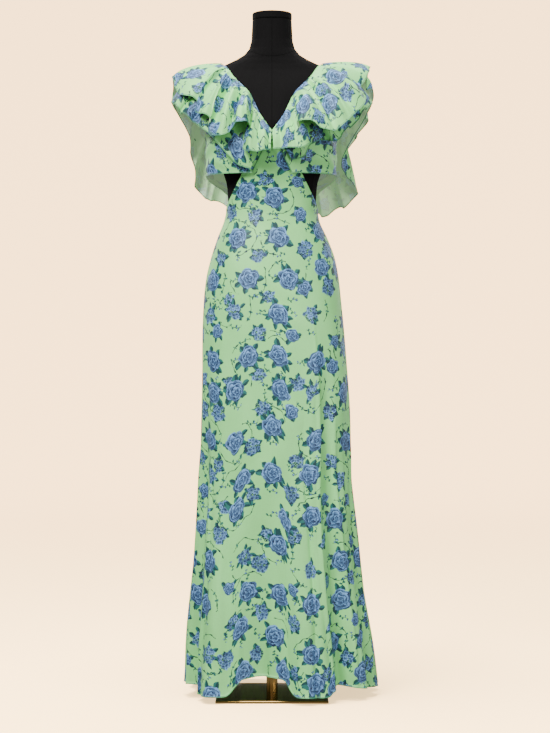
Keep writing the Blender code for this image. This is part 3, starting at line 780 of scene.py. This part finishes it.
def flower_print():
    """Roses, blossom heads and sprigs scattered over a plain ground, in metres of cloth."""
    name = "flower print"
    if name in bpy.data.node_groups:
        return bpy.data.node_groups[name]
    inputs = [("Cloth", "Vector", None)] + [(ink, "Color", (0.5, 0.5, 0.5, 1.0)) for ink in INKS]
    tree, signals = new_group(name, inputs, [("Colour", "Color")])
    cloth, ground, ground_deep, light, petal, deep, leaf, leaf_deep, stem = signals
    flat = scaled(cloth, 1000.0)
    _, sway = noise(flat, 0.045, 1.0, dimensions="2D")
    texture, rough = noise(flat, 0.42, 3.0, 0.62, dimensions="2D")
    place = flat
    for uneven, reach in ((sway, 9.0), (rough, 2.6)):
        shift = scaled(vector_math("SUBTRACT", uneven, (0.5, 0.5, 0.5)), reach)
        place = vector_math("ADD", place, shift)

    def grain(amount):
        return (texture - 0.5) * amount

    def petals(tone):
        return three_tones(tone, deep, petal, light)

    def greens(tone):
        return three_tones(tone, stem, leaf_deep, leaf)

    first, first_centre, luck = scattered(place, (0.0, 0.0), 0.42)
    second, second_centre, second_luck = scattered(place, (0.5, 0.5), 0.42)
    third, _, third_luck = scattered(place, (0.5, 0.0), 0.55)
    fourth, _, fourth_luck = scattered(place, (0.0, 0.5), 0.55)

    patch, _ = noise(flat, 0.006, 2.0, dimensions="2D")
    colour = paint(smooth(patch, 0.42, 0.66) * 0.5, ground, ground_deep)

    # Thin stems that arc round each rose, with a few thorns and buds along them
    radius, angle, _ = polar(first, luck[1] * FULL_TURN)
    arc_here = drawn_lot((angle * (5 / FULL_TURN)).math("FLOOR") + luck[2] * 31.0) < 0.36
    line = radius - ARC + (angle * 3.0).math("SINE") * 2.6 + (angle * 11.0).math("SINE") * 0.7
    thorn = abs((angle * 7.0).math("SINE")).math("POWER", 6.0)
    stems = (abs(line) < thorn * 0.9 + 0.62) * arc_here
    knots = abs(((angle * (17 / FULL_TURN)).math("FRACT") - 0.5) * 14.0)
    beads = ((knots * knots / 4.0 + (abs(line) - 2.6) * (abs(line) - 2.6) / 4.0) < 1.0) * arc_here
    beads = beads * ((angle * 2.0 + luck[0] * 9.0).math("SINE") > 0.1)
    colour = paint(beads, colour, leaf)
    colour = paint(stems, colour, stem)

    for away, chance in ((third, third_luck), (fourth, fourth_luck)):
        green, bud, twig = sprig(away, chance, texture)
        colour = paint(twig, colour, stem)
        tone = smooth(texture, 0.35, 0.65)
        colour = paint(green, colour, paint(tone, leaf_deep, leaf))
        colour = paint(bud, colour, petals(tone))

    # Blossom heads, with small roses in their place here and there
    radius, angle, _ = polar(second, second_luck[0] * FULL_TURN)
    is_rose = second_luck[2] < 0.26
    shape, tone = leaves(radius, angle, 6.0, 17.0, 9.0, 5.2, second_luck[1], 0.62)
    colour = paint(shape, colour, greens(tone + grain(0.6)))
    reach = second_luck[1] * 5.5 + 14.5
    shade = (radius < reach) * (texture > 0.42) * (1.0 - is_rose)
    colour = paint(shade, colour, deep)
    heads, tone = cluster(place, second_centre, reach)
    heads = heads * (1.0 - is_rose)
    colour = paint(heads, colour, petals(tone + grain(0.5)))
    small, small_tone, _, _ = rose(second, second_luck, second_luck[1] * 4.0 + 14.0, texture)
    colour = paint(small * is_rose, colour, petals(small_tone))

    # Full roses with their leaves behind them
    size = smooth(luck[2], 0.1, 0.4) * 6.0 + 19.0
    mask, rose_tone, radius, angle = rose(first, luck, size, texture)
    is_head = luck[2] < 0.24
    mask = mask * (1.0 - is_head)
    for count, middle, chance in ((7.0, 1.02, 0.62), (5.0, 1.10, 0.5)):
        ring = (count, size * middle, size * 0.50, size * 0.26, luck[1], chance)
        shape, tone = leaves(radius, angle + count, *ring)
        colour = paint(shape, colour, greens(tone + grain(0.6)))
    colour = paint(mask, colour, petals(rose_tone))
    colour = paint((radius < size * 0.8) * (texture > 0.42) * is_head, colour, deep)
    more, tone = cluster(place, first_centre, size * 0.92)
    colour = paint(more * is_head, colour, petals(tone + grain(0.5)))
    give(tree, Colour=colour)
    return tree


def weave():
    """Crossing threads with uneven slubs: the height of the cloth and the slubs' strength."""
    name = "weave"
    if name in bpy.data.node_groups:
        return bpy.data.node_groups[name]
    inputs = [("Cloth", "Vector", None), ("Threads", "Float", 1400.0), ("Slub", "Float", 1.0)]
    tree, (cloth, threads, slub) = new_group(name, inputs, [("Height", "Float"), ("Slubs", "Float")])
    x, y, z = split(cloth)
    turns = threads * FULL_TURN
    warp = (x * turns).math("SINE") * (y * turns).math("SINE")
    across, _ = noise(joined(x * 0.16, y, z), 520.0, 3.0, 0.6)
    along, _ = noise(joined(x, y * 0.12, z), 430.0, 3.0, 0.6)
    slubs = across * 0.55 + along * 0.45
    give(tree, Height=warp * 0.35 + (slubs - 0.5) * slub * 2.0, Slubs=slubs)
    return tree


def mottle():
    """Slow uneven changes over a surface, such as handling marks and a patchy finish."""
    name = "mottle"
    if name in bpy.data.node_groups:
        return bpy.data.node_groups[name]
    inputs = [("Place", "Vector", None), ("Scale", "Float", 12.0), ("Depth", "Float", 0.1)]
    tree, (place, scale, depth) = new_group(name, inputs, [("Value", "Float"), ("Colour", "Color")])
    coarse, _ = noise(place, scale, 4.0, 0.6)
    fine, _ = noise(place, scale * 9.0, 3.0, 0.6)
    value = (coarse * 0.7 + fine * 0.3 - 0.5) * depth * 2.0 + 1.0
    give(tree, Value=value, Colour=joined(value, value, value))
    return tree


def new_material(name, roughness, **values):
    """A material with a Principled shader; constants stay on the shader's own sockets."""
    made = bpy.data.materials.new(name)
    made.use_nodes = True
    shader = made.node_tree.nodes["Principled BSDF"]
    shader.inputs["Roughness"].default_value = roughness
    for label, value in values.items():
        shader.inputs[label.replace("_", " ")].default_value = value
    return made, made.node_tree, shader


def coordinates(tree, label):
    """A named UV map, or the object's own coordinates, in metres."""
    if label == "Object":
        return Signal(node(tree, "TexCoord").outputs["Object"])
    return Signal(node(tree, "UVMap", uv_map=label).outputs["UV"])


def relief(shader, height, distance, strength):
    made = node(height.tree, "Bump", {"Height": height, "Distance": distance, "Strength": strength})
    feed(shader.inputs["Normal"], Signal(made.outputs["Normal"]))


def printed_cloth(wrong_side):
    """The dress cloth: right side with the full print, or the paler wrong side."""
    name = "printed cloth, wrong side" if wrong_side else "printed cloth, right side"
    if name in bpy.data.materials:
        return bpy.data.materials[name]
    look = bpy.context.scene.dress_print
    made, tree, shader = new_material(
        name, 0.5, Sheen_Weight=look.sheen, Sheen_Roughness=0.4, Specular_IOR_Level=0.30
    )
    shader.inputs["Sheen Tint"].default_value = (0.9, 1.0, 0.86, 1.0)
    place = coordinates(tree, "cloth")
    hem, _, _ = split(coordinates(tree, "hem"))
    inks = {ink: (*getattr(look, ink.lower().replace(" ", "_")), 1.0) for ink in INKS}
    drawn = use(tree, flower_print(), Cloth=place, **inks)
    threads = use(tree, weave(), Cloth=place, Threads=1500.0, Slub=1.0)
    patchy = use(tree, mottle(), Place=place, Scale=9.0, Depth=0.07)
    colour = drawn["Colour"]
    if wrong_side:
        # Light that comes through the thin cloth
        seen = Signal(node(tree, "LightPath").outputs["Is Camera Ray"])
        feed(shader.inputs["Emission Strength"], seen * look.glow_through)
        colour = paint(look.strike_through, (*look.wrong_side, 1.0), colour)
    colour = paint(1.0, colour, patchy["Colour"], "MULTIPLY")
    slubs = threads["Slubs"] * 0.24 + 0.88
    colour = paint(1.0, colour, joined(slubs, slubs, slubs), "MULTIPLY")
    rolled = smooth(hem, *HEM_TINT)
    colour = paint(rolled * 0.7, colour, (*look.hem_line, 1.0))
    feed(shader.inputs["Base Color"], colour)
    if wrong_side:
        feed(shader.inputs["Emission Color"], colour)
    feed(shader.inputs["Roughness"], threads["Slubs"] * 0.30 + 0.36)
    stitch = smooth(abs(hem - STITCHES), STITCH_WIDTH, 0.0)
    relief(shader, threads["Height"] - stitch * 1.5, 0.00012, 0.55)
    return made


def form_jersey():
    """Black knitted cover, with the seams of the form drawn into it."""
    name = "form jersey"
    if name in bpy.data.materials:
        return bpy.data.materials[name]
    made, tree, shader = new_material(name, 0.85, Sheen_Weight=0.012, Sheen_Roughness=0.5)
    shader.inputs["Specular IOR Level"].default_value = 0.06
    place = coordinates(tree, "Object")
    x, _, z = split(place)
    knit = use(tree, weave(), Cloth=place, Threads=900.0, Slub=0.7)
    patchy = use(tree, mottle(), Place=place, Scale=7.0, Depth=0.25)
    middle = smooth(abs(x), 0.0011, 0.0003) * smooth(z, 1.60, 1.59)
    neck = smooth(abs(z - NECK_SEAM - x * x * 5.5), 0.0013, 0.0004)
    waist = smooth(abs(z - WAIST_SEAM), 0.0012, 0.0004)
    seams = (middle + neck + waist).math("MINIMUM", 1.0)
    colour = paint(1.0, (0.0042, 0.0040, 0.0043, 1.0), patchy["Colour"], "MULTIPLY")
    colour = paint(seams * 0.7, colour, (0.0012, 0.0012, 0.0012, 1.0))
    feed(shader.inputs["Base Color"], colour)
    feed(shader.inputs["Roughness"], knit["Slubs"] * 0.2 + 0.72)
    relief(shader, knit["Height"] * 0.4 - seams * 4.0, 0.0002, 0.6)
    return made


def polished_brass():
    name = "polished brass"
    if name in bpy.data.materials:
        return bpy.data.materials[name]
    made, tree, shader = new_material(name, 0.16, Metallic=1.0)
    place = coordinates(tree, "Object")
    patchy = use(tree, mottle(), Place=place, Scale=16.0, Depth=0.10)
    colour = paint(1.0, (0.44, 0.28, 0.09, 1.0), patchy["Colour"], "MULTIPLY")
    feed(shader.inputs["Base Color"], colour)
    handled = use(tree, mottle(), Place=place, Scale=60.0, Depth=0.5)
    feed(shader.inputs["Roughness"], handled["Value"] * 0.17)
    relief(shader, handled["Value"], 0.00002, 0.3)
    return made


# ---- settings


def colour_setting(name, description, value):
    limits = {"size": 3, "min": 0.0, "max": 1.0, "subtype": "COLOR"}
    return bpy.props.FloatVectorProperty(name=name, description=description, default=value, **limits)


def amount_setting(name, description, value, **limits):
    limits = {"min": 0.0, **limits}
    return bpy.props.FloatProperty(name=name, description=description, default=value, **limits)


def length_setting(name, description, value, most):
    return amount_setting(name, description, value, max=most, unit="LENGTH", precision=5)


def power_setting(name, description, value):
    return amount_setting(name, description, value, unit="POWER")


def share_setting(name, description, value):
    return amount_setting(name, description, value, max=1.0, subtype="FACTOR")


class DressCloth(bpy.types.PropertyGroup):
    thickness: length_setting("Cloth thickness", "Thickness of one layer of cloth", 0.0007, 0.0015)
    hem_thickness: length_setting("Hem thickness", "Thickness of the rolled hem", 0.0013, 0.0015)
    hem_width: length_setting("Hem width", "Width of the rolled hem", 0.0034, 0.02)
    gather_depth: length_setting("Gather depth", "How deep the gathers at the neckline are", 0.0012, 0.004)
    flutter_depth: length_setting("Flutter depth", "How far a flounce's edge wavers", 0.0010, 0.004)
    pleat_depth: amount_setting(
        "Pleat depth", "Strength of the pleats that fan from the neckline", 1.5, max=2.0
    )
    front_bow: amount_setting("Front bow", "How far the front flounces bow out", 0.7, max=1.5)
    fold_reach: amount_setting(
        "Fold reach", "Lower values run the folds nearer to the seam", 0.72, min=0.4, max=2.0
    )
    crease_depth: amount_setting("Crease depth", "Strength of the fine creases in the skirt", 2.0, max=2.0)


class DressPrint(bpy.types.PropertyGroup):
    ground: colour_setting("Ground", "Cloth between the flowers", (0.28, 0.80, 0.26))
    ground_deep: colour_setting("Deep ground", "Slightly deeper patches of the ground", (0.23, 0.69, 0.21))
    petal_light: colour_setting("Light petal", "Lit edges of the petals", (0.20, 0.44, 0.84))
    petal: colour_setting("Petal", "Main colour of the flowers", (0.050, 0.110, 0.225))
    petal_deep: colour_setting("Deep petal", "Folds between the petals", (0.010, 0.026, 0.068))
    leaf: colour_setting("Leaf", "Lit half of a leaf", (0.022, 0.150, 0.130))
    leaf_deep: colour_setting("Deep leaf", "Shaded half of a leaf", (0.008, 0.052, 0.058))
    stem: colour_setting("Stem", "Stems and the veins of leaves", (0.006, 0.024, 0.040))
    wrong_side: colour_setting("Wrong side", "Back of the cloth", (0.62, 0.86, 0.50))
    hem_line: colour_setting("Hem line", "Rolled edge of the hems", (0.045, 0.20, 0.095))
    strike_through: share_setting("Strike-through", "How much of the print shows on the wrong side", 0.30)
    glow_through: amount_setting("Glow", "Light that comes through the thin cloth", 0.34, max=2.0)
    sheen: share_setting("Sheen", "Soft sheen of the cloth", 0.05)


class DressStudio(bpy.types.PropertyGroup):
    wall: colour_setting("Backdrop", "Colour of the backdrop", (1.0, 0.62, 0.29))
    floor: colour_setting("Floor", "Colour of the floor", (0.90, 0.62, 0.30))
    key_power: power_setting("Key light", "Power of the main light", 300.0)
    fill_power: power_setting("Fill light", "Power of the fill light", 92.0)
    top_power: power_setting("Top light", "Power of the light above", 225.0)
    back_power: power_setting("Back lights", "Power of the lights behind", 60.0)
    floor_power: power_setting("Floor light", "Power of the light on the floor alone", 950.0)
    backdrop_glow: amount_setting("Backdrop glow", "How much light the backdrop gives back", 4.6)


# ---- operators


def skirt_sheet(cloth, face, columns, top):
    """The front or the back of the skirt, from seam to seam and from hem to waist."""
    across = np.linspace(-1, 1, columns)
    down = np.linspace(0, 1, 190)[:, None] ** 0.95
    depth = column(SKIRT, "height", face, mix(HEM_LEVEL, WAIST, down))
    turn = (90 - np.degrees(SEAM / 2 / depth)) * across
    if face == "back":
        turn = turn % 360 - 180
    height = mix(column(HEM, "turn", "height", turn), top, down)
    return skirt_point(turn, height, cloth)


class DRESS_OT_skirt(bpy.types.Operator):
    """Sew the front and the back of the skirt"""

    bl_idname = "dress.skirt"
    bl_label = "Skirt"

    def execute(self, context):
        cloth = context.scene.dress_cloth
        skirt = skirt_sheet(cloth, "front", 181, WAIST)
        # The insert between the cut-outs is cut in one with the front
        across = np.linspace(-1, 1, skirt.shape[1])
        rise = mix(WAIST, INSERT[-1].height, np.linspace(0, 1, 50)[1:, None] ** 1.3)
        turn = column(INSERT, "height", "turn", rise) * across
        front = np.concatenate([skirt, skirt_point(turn, rise + 0 * across, cloth)])
        back = skirt_sheet(cloth, "back", 161, WAIST - 3 * SEAM)
        for face, points, bolt in (("front", front, (0.0, 0.0)), ("back", back, (1.3, 0.2))):
            flat = laid_flat(points, points.shape[1] // 2)
            sewn(f"skirt_{face}", points, flat, lengths(points, 0), cloth, bolt=bolt)
        return {"FINISHED"}


class DRESS_OT_bodice(bpy.types.Operator):
    """Sew the four panels of the bodice"""

    bl_idname = "dress.bodice"
    bl_label = "Bodice"

    def panel(self, cloth, side, hand, back):
        joints = (BODICE_HEM, ARMHOLE_LOW, BACK_NECK) if back else (NECK_POINT, ARMHOLE_LOW)
        stops = [WAIST if back else BODICE_HEM, *joints, ARMHOLE_HIGH, PANEL_TOP]
        steps = [
            np.linspace(low, high, max(3, round((high - low) / PANEL_STEP)) + 1)[1:]
            for low, high in zip(stops, stops[1:])
        ]
        height = np.concatenate([stops[:1], *steps])[:, None]
        if back:
            inner = column(BACK_NECKLINE, "height", "turn", height)
        else:
            lap = column(LAP, "height", "turn", height)
            inner = np.where(height < NECK_POINT, lap, column(FRONT_NECK, "height", "turn", height))
        depth = column(BODICE, "height", "back" if back else "front", height)
        outer = 90 - np.degrees(SEAM / 2 / depth) - armhole(height)
        if back:
            outer = np.minimum(outer, column(BACK_WING, "height", "turn", height))
        turn = mix(inner, outer, np.linspace(0, 1, 61))
        angle = np.radians(90 - turn if back else turn - 90)
        half, depth = sides(BODICE, np.where(side < 0, np.pi - angle, angle), height)
        points = on_ring(half, depth, angle, height)
        # Light drag lines from the side seam towards the lap
        out = unit(points * (1, 1, 0))
        drag = np.sin(height * 150 + turn * 0.05 * side + 2 * np.sin(turn * 0.09))
        where = ease(turn, 20, 45) * ease(height, 1.42, 1.34) * ease(height, BODICE_HEM, 1.245)
        points = points + out * (cloth.crease_depth * 0.0007 * drag * where)[..., None]
        points = points * (side, 1, 1)
        # The columns run so that the cloth's normals point outwards
        inner_first = (side > 0) != back
        if not inner_first:
            points = points[:, ::-1]
        flat = laid_flat(points, -1 if inner_first else 0)
        # The lap, the neckline and the lower edge are turned hems, and the side is a seam
        from_inner = lengths(points if inner_first else points[:, ::-1], 1)
        if not inner_first:
            from_inner = from_inner[:, ::-1]
        edge = np.minimum(from_inner, lengths(points, 0))
        name = f"bodice_{'back' if back else 'front'}_{hand}"
        bolt = (0.31 * side, 0.47 + 0.23 * back)
        sewn(name, points, flat, edge, cloth, bolt=bolt)

    def execute(self, context):
        for side, hand in ((-1, "left"), (1, "right")):
            for back in (False, True):
                self.panel(context.scene.dress_cloth, side, hand, back)
        return {"FINISHED"}


def sew_tier(row, hand, edge, flutes, pleats, out, bolt):
    """The front and back halves of one tier on one side, cut at the shoulder seam."""
    cloth = bpy.context.scene.dress_cloth
    side = 1 if hand == "right" else -1
    reach = edge_lengths(edge)
    shoulder = reach[[mark.root for mark in edge].index(1.0)]
    for part, first, last in (("front", 0, shoulder - SEAM), ("back", shoulder + SEAM, reach[-1])):
        at = np.linspace(first, last, 221)[None, :]
        down = np.linspace(0, 1, 46)[:, None] ** 0.9
        points = tier_point(at + 0 * down, down + 0 * at, side, edge, flutes, pleats, out, cloth)
        flat = laid_round(points)
        to_hem = lengths(points[::-1], 0)[::-1]
        if side > 0:
            points, flat, to_hem = points[::-1], flat[::-1], to_hem[::-1]
        name = f"{row}_tier_{part}_{hand}"
        shift = (bolt[0], bolt[1] + (0.6 if part == "back" else 0.0))
        sewn(name, points, flat, to_hem, cloth, grain=FLOUNCE_GRAIN * side, bolt=shift)


class DRESS_OT_lower_tier(bpy.types.Operator):
    """Sew the lower tier of the flounced collar"""

    bl_idname = "dress.lower_tier"
    bl_label = "Lower tier"

    def execute(self, context):
        for row in (
            ("left", LOWER_LEFT, LOWER_LEFT_FLUTES, BACK_PLEATS, LOWER_ROOT, (2.1, 0.3)),
            ("right", LOWER_RIGHT, LOWER_RIGHT_FLUTES, BACK_PLEATS, LOWER_ROOT, (2.9, 0.8)),
        ):
            sew_tier("lower", *row)
        return {"FINISHED"}


class DRESS_OT_upper_tier(bpy.types.Operator):
    """Sew the upper tier of the flounced collar"""

    bl_idname = "dress.upper_tier"
    bl_label = "Upper tier"

    def execute(self, context):
        left, right = UPPER_LEFT_PLEATS + BACK_PLEATS, UPPER_RIGHT_PLEATS + BACK_PLEATS
        for row in (
            ("left", UPPER_LEFT, UPPER_LEFT_FLUTES, left, UPPER_ROOT, (3.7, 1.1)),
            ("right", UPPER_RIGHT, UPPER_RIGHT_FLUTES, right, UPPER_ROOT, (4.4, 1.6)),
        ):
            sew_tier("upper", *row)
        return {"FINISHED"}


def finish_nodes(names, material):
    """Gives CAD nodes a better material; their meshes stay as they are."""
    for name in names:
        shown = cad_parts[name]
        for slot in shown.material_slots:
            slot.material = material


class DRESS_OT_form(bpy.types.Operator):
    """Cover the form and its neck cap with black jersey"""

    bl_idname = "dress.form"
    bl_label = "Form"

    def execute(self, context):
        finish_nodes(("form_torso", "neck_cap"), form_jersey())
        return {"FINISHED"}


class DRESS_OT_stand(bpy.types.Operator):
    """Polish the pole and the base plate"""

    bl_idname = "dress.stand"
    bl_label = "Stand"

    def execute(self, context):
        finish_nodes(("pole", "base_plate"), polished_brass())
        return {"FINISHED"}


def soft_light(name, place, size, energy, tint):
    """A panel of light that faces the middle of the dress and isn't seen itself."""
    data = bpy.data.lights.new(name, "AREA")
    data.shape = "RECTANGLE"
    data.size, data.size_y = size
    data.energy = energy
    data.color = tint
    lamp = bpy.data.objects.new(name, data)
    bpy.context.scene.collection.objects.link(lamp)
    lamp.location = place
    lamp.rotation_euler = facing(np.subtract(LIT_MIDDLE, place))
    lamp.visible_camera = False
    return lamp


def facing(way):
    """The rotation that points an object's -Z along a direction."""
    flat = np.hypot(way[0], way[1])
    return (np.pi / 2 + np.arctan2(way[2], flat), 0.0, np.arctan2(way[1], way[0]) - np.pi / 2)


def cove_shell():
    """A flat round floor that curves up into a wall."""
    rise = np.linspace(0, np.pi / 2, 25)
    reach = np.concatenate([[1.0, 2.5, 5.0], 5.5 + 4.0 * np.sin(rise), [9.5]])
    height = np.concatenate([[0.0, 0.0, 0.0], 4.0 - 4.0 * np.cos(rise), [8.0]])[:, None]
    angle = np.linspace(0, FULL_TURN, 129)[:-1]
    reach = reach[:, None]
    rings = np.stack([reach * np.cos(angle), reach * np.sin(angle), height + 0 * angle], -1)
    number = 1 + np.arange(rings.shape[0] * rings.shape[1]).reshape(rings.shape[:2])
    nexts = np.roll(number, -1, axis=1)
    faces = [(0, a, b) for a, b in zip(number[0].tolist(), nexts[0].tolist())]
    quads = np.stack([number[:-1], number[1:], nexts[1:], nexts[:-1]], -1).reshape(-1, 4)
    mesh = bpy.data.meshes.new("cove")
    mesh.from_pydata([(0, 0, 0), *rings.reshape(-1, 3).tolist()], [], faces + quads.tolist())
    mesh.shade_smooth()
    return bpy.data.objects.new("cove", mesh)


class DRESS_OT_studio(bpy.types.Operator):
    """Set up the floor, the backdrop, the lights and the camera"""

    bl_idname = "dress.studio"
    bl_label = "Studio"

    def execute(self, context):
        scene, look = context.scene, context.scene.dress_studio
        cove = cove_shell()
        scene.collection.objects.link(cove)
        made, tree, shader = new_material("cove paper", 0.9, Specular_IOR_Level=0.1)
        place = coordinates(tree, "Object")
        patchy = use(tree, mottle(), Place=place, Scale=0.6, Depth=0.03)
        x, y, _ = split(place)
        radius = (x * x + y * y).math("SQRT")
        lifted = smooth(radius, 1.2, 7.0)
        colour = paint(lifted, (*look.floor, 1.0), (*look.wall, 1.0))
        colour = paint(1.0, colour, patchy["Colour"], "MULTIPLY")
        feed(shader.inputs["Base Color"], colour)
        near = tuple(0.45 * value for value in look.floor)
        glow = paint(lifted, (*near, 1.0), (*look.wall, 1.0))
        feed(shader.inputs["Emission Color"], glow)
        shader.inputs["Emission Strength"].default_value = look.backdrop_glow
        cove.data.materials.append(made)
        cove.visible_diffuse = False
        cove.visible_glossy = False

        world = bpy.data.worlds.new("studio")
        world.use_nodes = True
        sky = world.node_tree.nodes["Background"]
        sky.inputs["Color"].default_value = (1.0, 0.97, 0.94, 1.0)
        mirrored = Signal(node(world.node_tree, "LightPath").outputs["Is Glossy Ray"])
        strength = mirrored * SKY_MIRRORED + SKY
        feed(sky.inputs["Strength"], strength)
        scene.world = world

        for lamp in (
            ("key", (-1.7, -3.0, 3.6), (1.5, 1.5), look.key_power, (1.0, 0.97, 0.93)),
            ("fill", (2.6, -3.2, 1.4), (2.4, 2.8), look.fill_power, (1.0, 0.97, 0.94)),
            ("top", (0.0, 0.2, 4.4), (3.0, 3.0), look.top_power, (1.0, 0.98, 0.95)),
            ("back left", (-2.6, 3.4, 2.6), (2.0, 2.4), look.back_power, (1.0, 0.97, 0.93)),
            ("back right", (2.8, 3.0, 2.2), (2.0, 2.4), look.back_power * 0.8, (1.0, 0.97, 0.94)),
        ):
            soft_light(*lamp)
        # The floor has a light of its own, which the dress doesn't take
        lit = bpy.data.collections.new("floor only")
        lit.objects.link(cove)
        warm = (1.0, 0.9, 0.8)
        lamp = soft_light("floor light", (-0.5, -0.6, 4.6), (2.2, 2.2), look.floor_power, warm)
        lamp.light_linking.receiver_collection = lit

        data = bpy.data.cameras.new("camera")
        data.sensor_fit = "VERTICAL"
        data.sensor_height = SENSOR
        data.lens = LENS
        camera = bpy.data.objects.new("camera", data)
        scene.collection.objects.link(camera)
        camera.location = CAMERA
        camera.rotation_euler = (np.pi / 2, 0.0, 0.0)
        data.clip_end = 60.0
        scene.camera = camera
        return {"FINISHED"}


class DRESS_PT_panel(bpy.types.Panel):
    """Lists the pieces of the dress and its settings"""

    bl_label = "Dress"
    bl_idname = "DRESS_PT_panel"
    bl_space_type = "VIEW_3D"
    bl_region_type = "UI"
    bl_category = "Dress"

    def draw(self, context):
        layout = self.layout
        for operator in OPERATORS:
            layout.operator(operator.bl_idname)
        for group in (context.scene.dress_cloth, context.scene.dress_print, context.scene.dress_studio):
            box = layout.box()
            for name in group.bl_rna.properties.keys():
                if name not in {"rna_type", "name"}:
                    box.prop(group, name)


OPERATORS = (
    DRESS_OT_form,
    DRESS_OT_stand,
    DRESS_OT_skirt,
    DRESS_OT_bodice,
    DRESS_OT_lower_tier,
    DRESS_OT_upper_tier,
    DRESS_OT_studio,
)
CLASSES = (DressCloth, DressPrint, DressStudio, *OPERATORS, DRESS_PT_panel)


def register():
    for each in CLASSES:
        bpy.utils.register_class(each)
    bpy.types.Scene.dress_cloth = bpy.props.PointerProperty(type=DressCloth)
    bpy.types.Scene.dress_print = bpy.props.PointerProperty(type=DressPrint)
    bpy.types.Scene.dress_studio = bpy.props.PointerProperty(type=DressStudio)


def unregister():
    del bpy.types.Scene.dress_studio
    del bpy.types.Scene.dress_print
    del bpy.types.Scene.dress_cloth
    for each in reversed(CLASSES):
        bpy.utils.unregister_class(each)


def main():
    register()
    bpy.ops.dress.form()
    bpy.ops.dress.stand()
    bpy.ops.dress.skirt()
    bpy.ops.dress.bodice()
    bpy.ops.dress.lower_tier()
    bpy.ops.dress.upper_tier()
    bpy.ops.dress.studio()


if __name__ == "__main__":
    main()
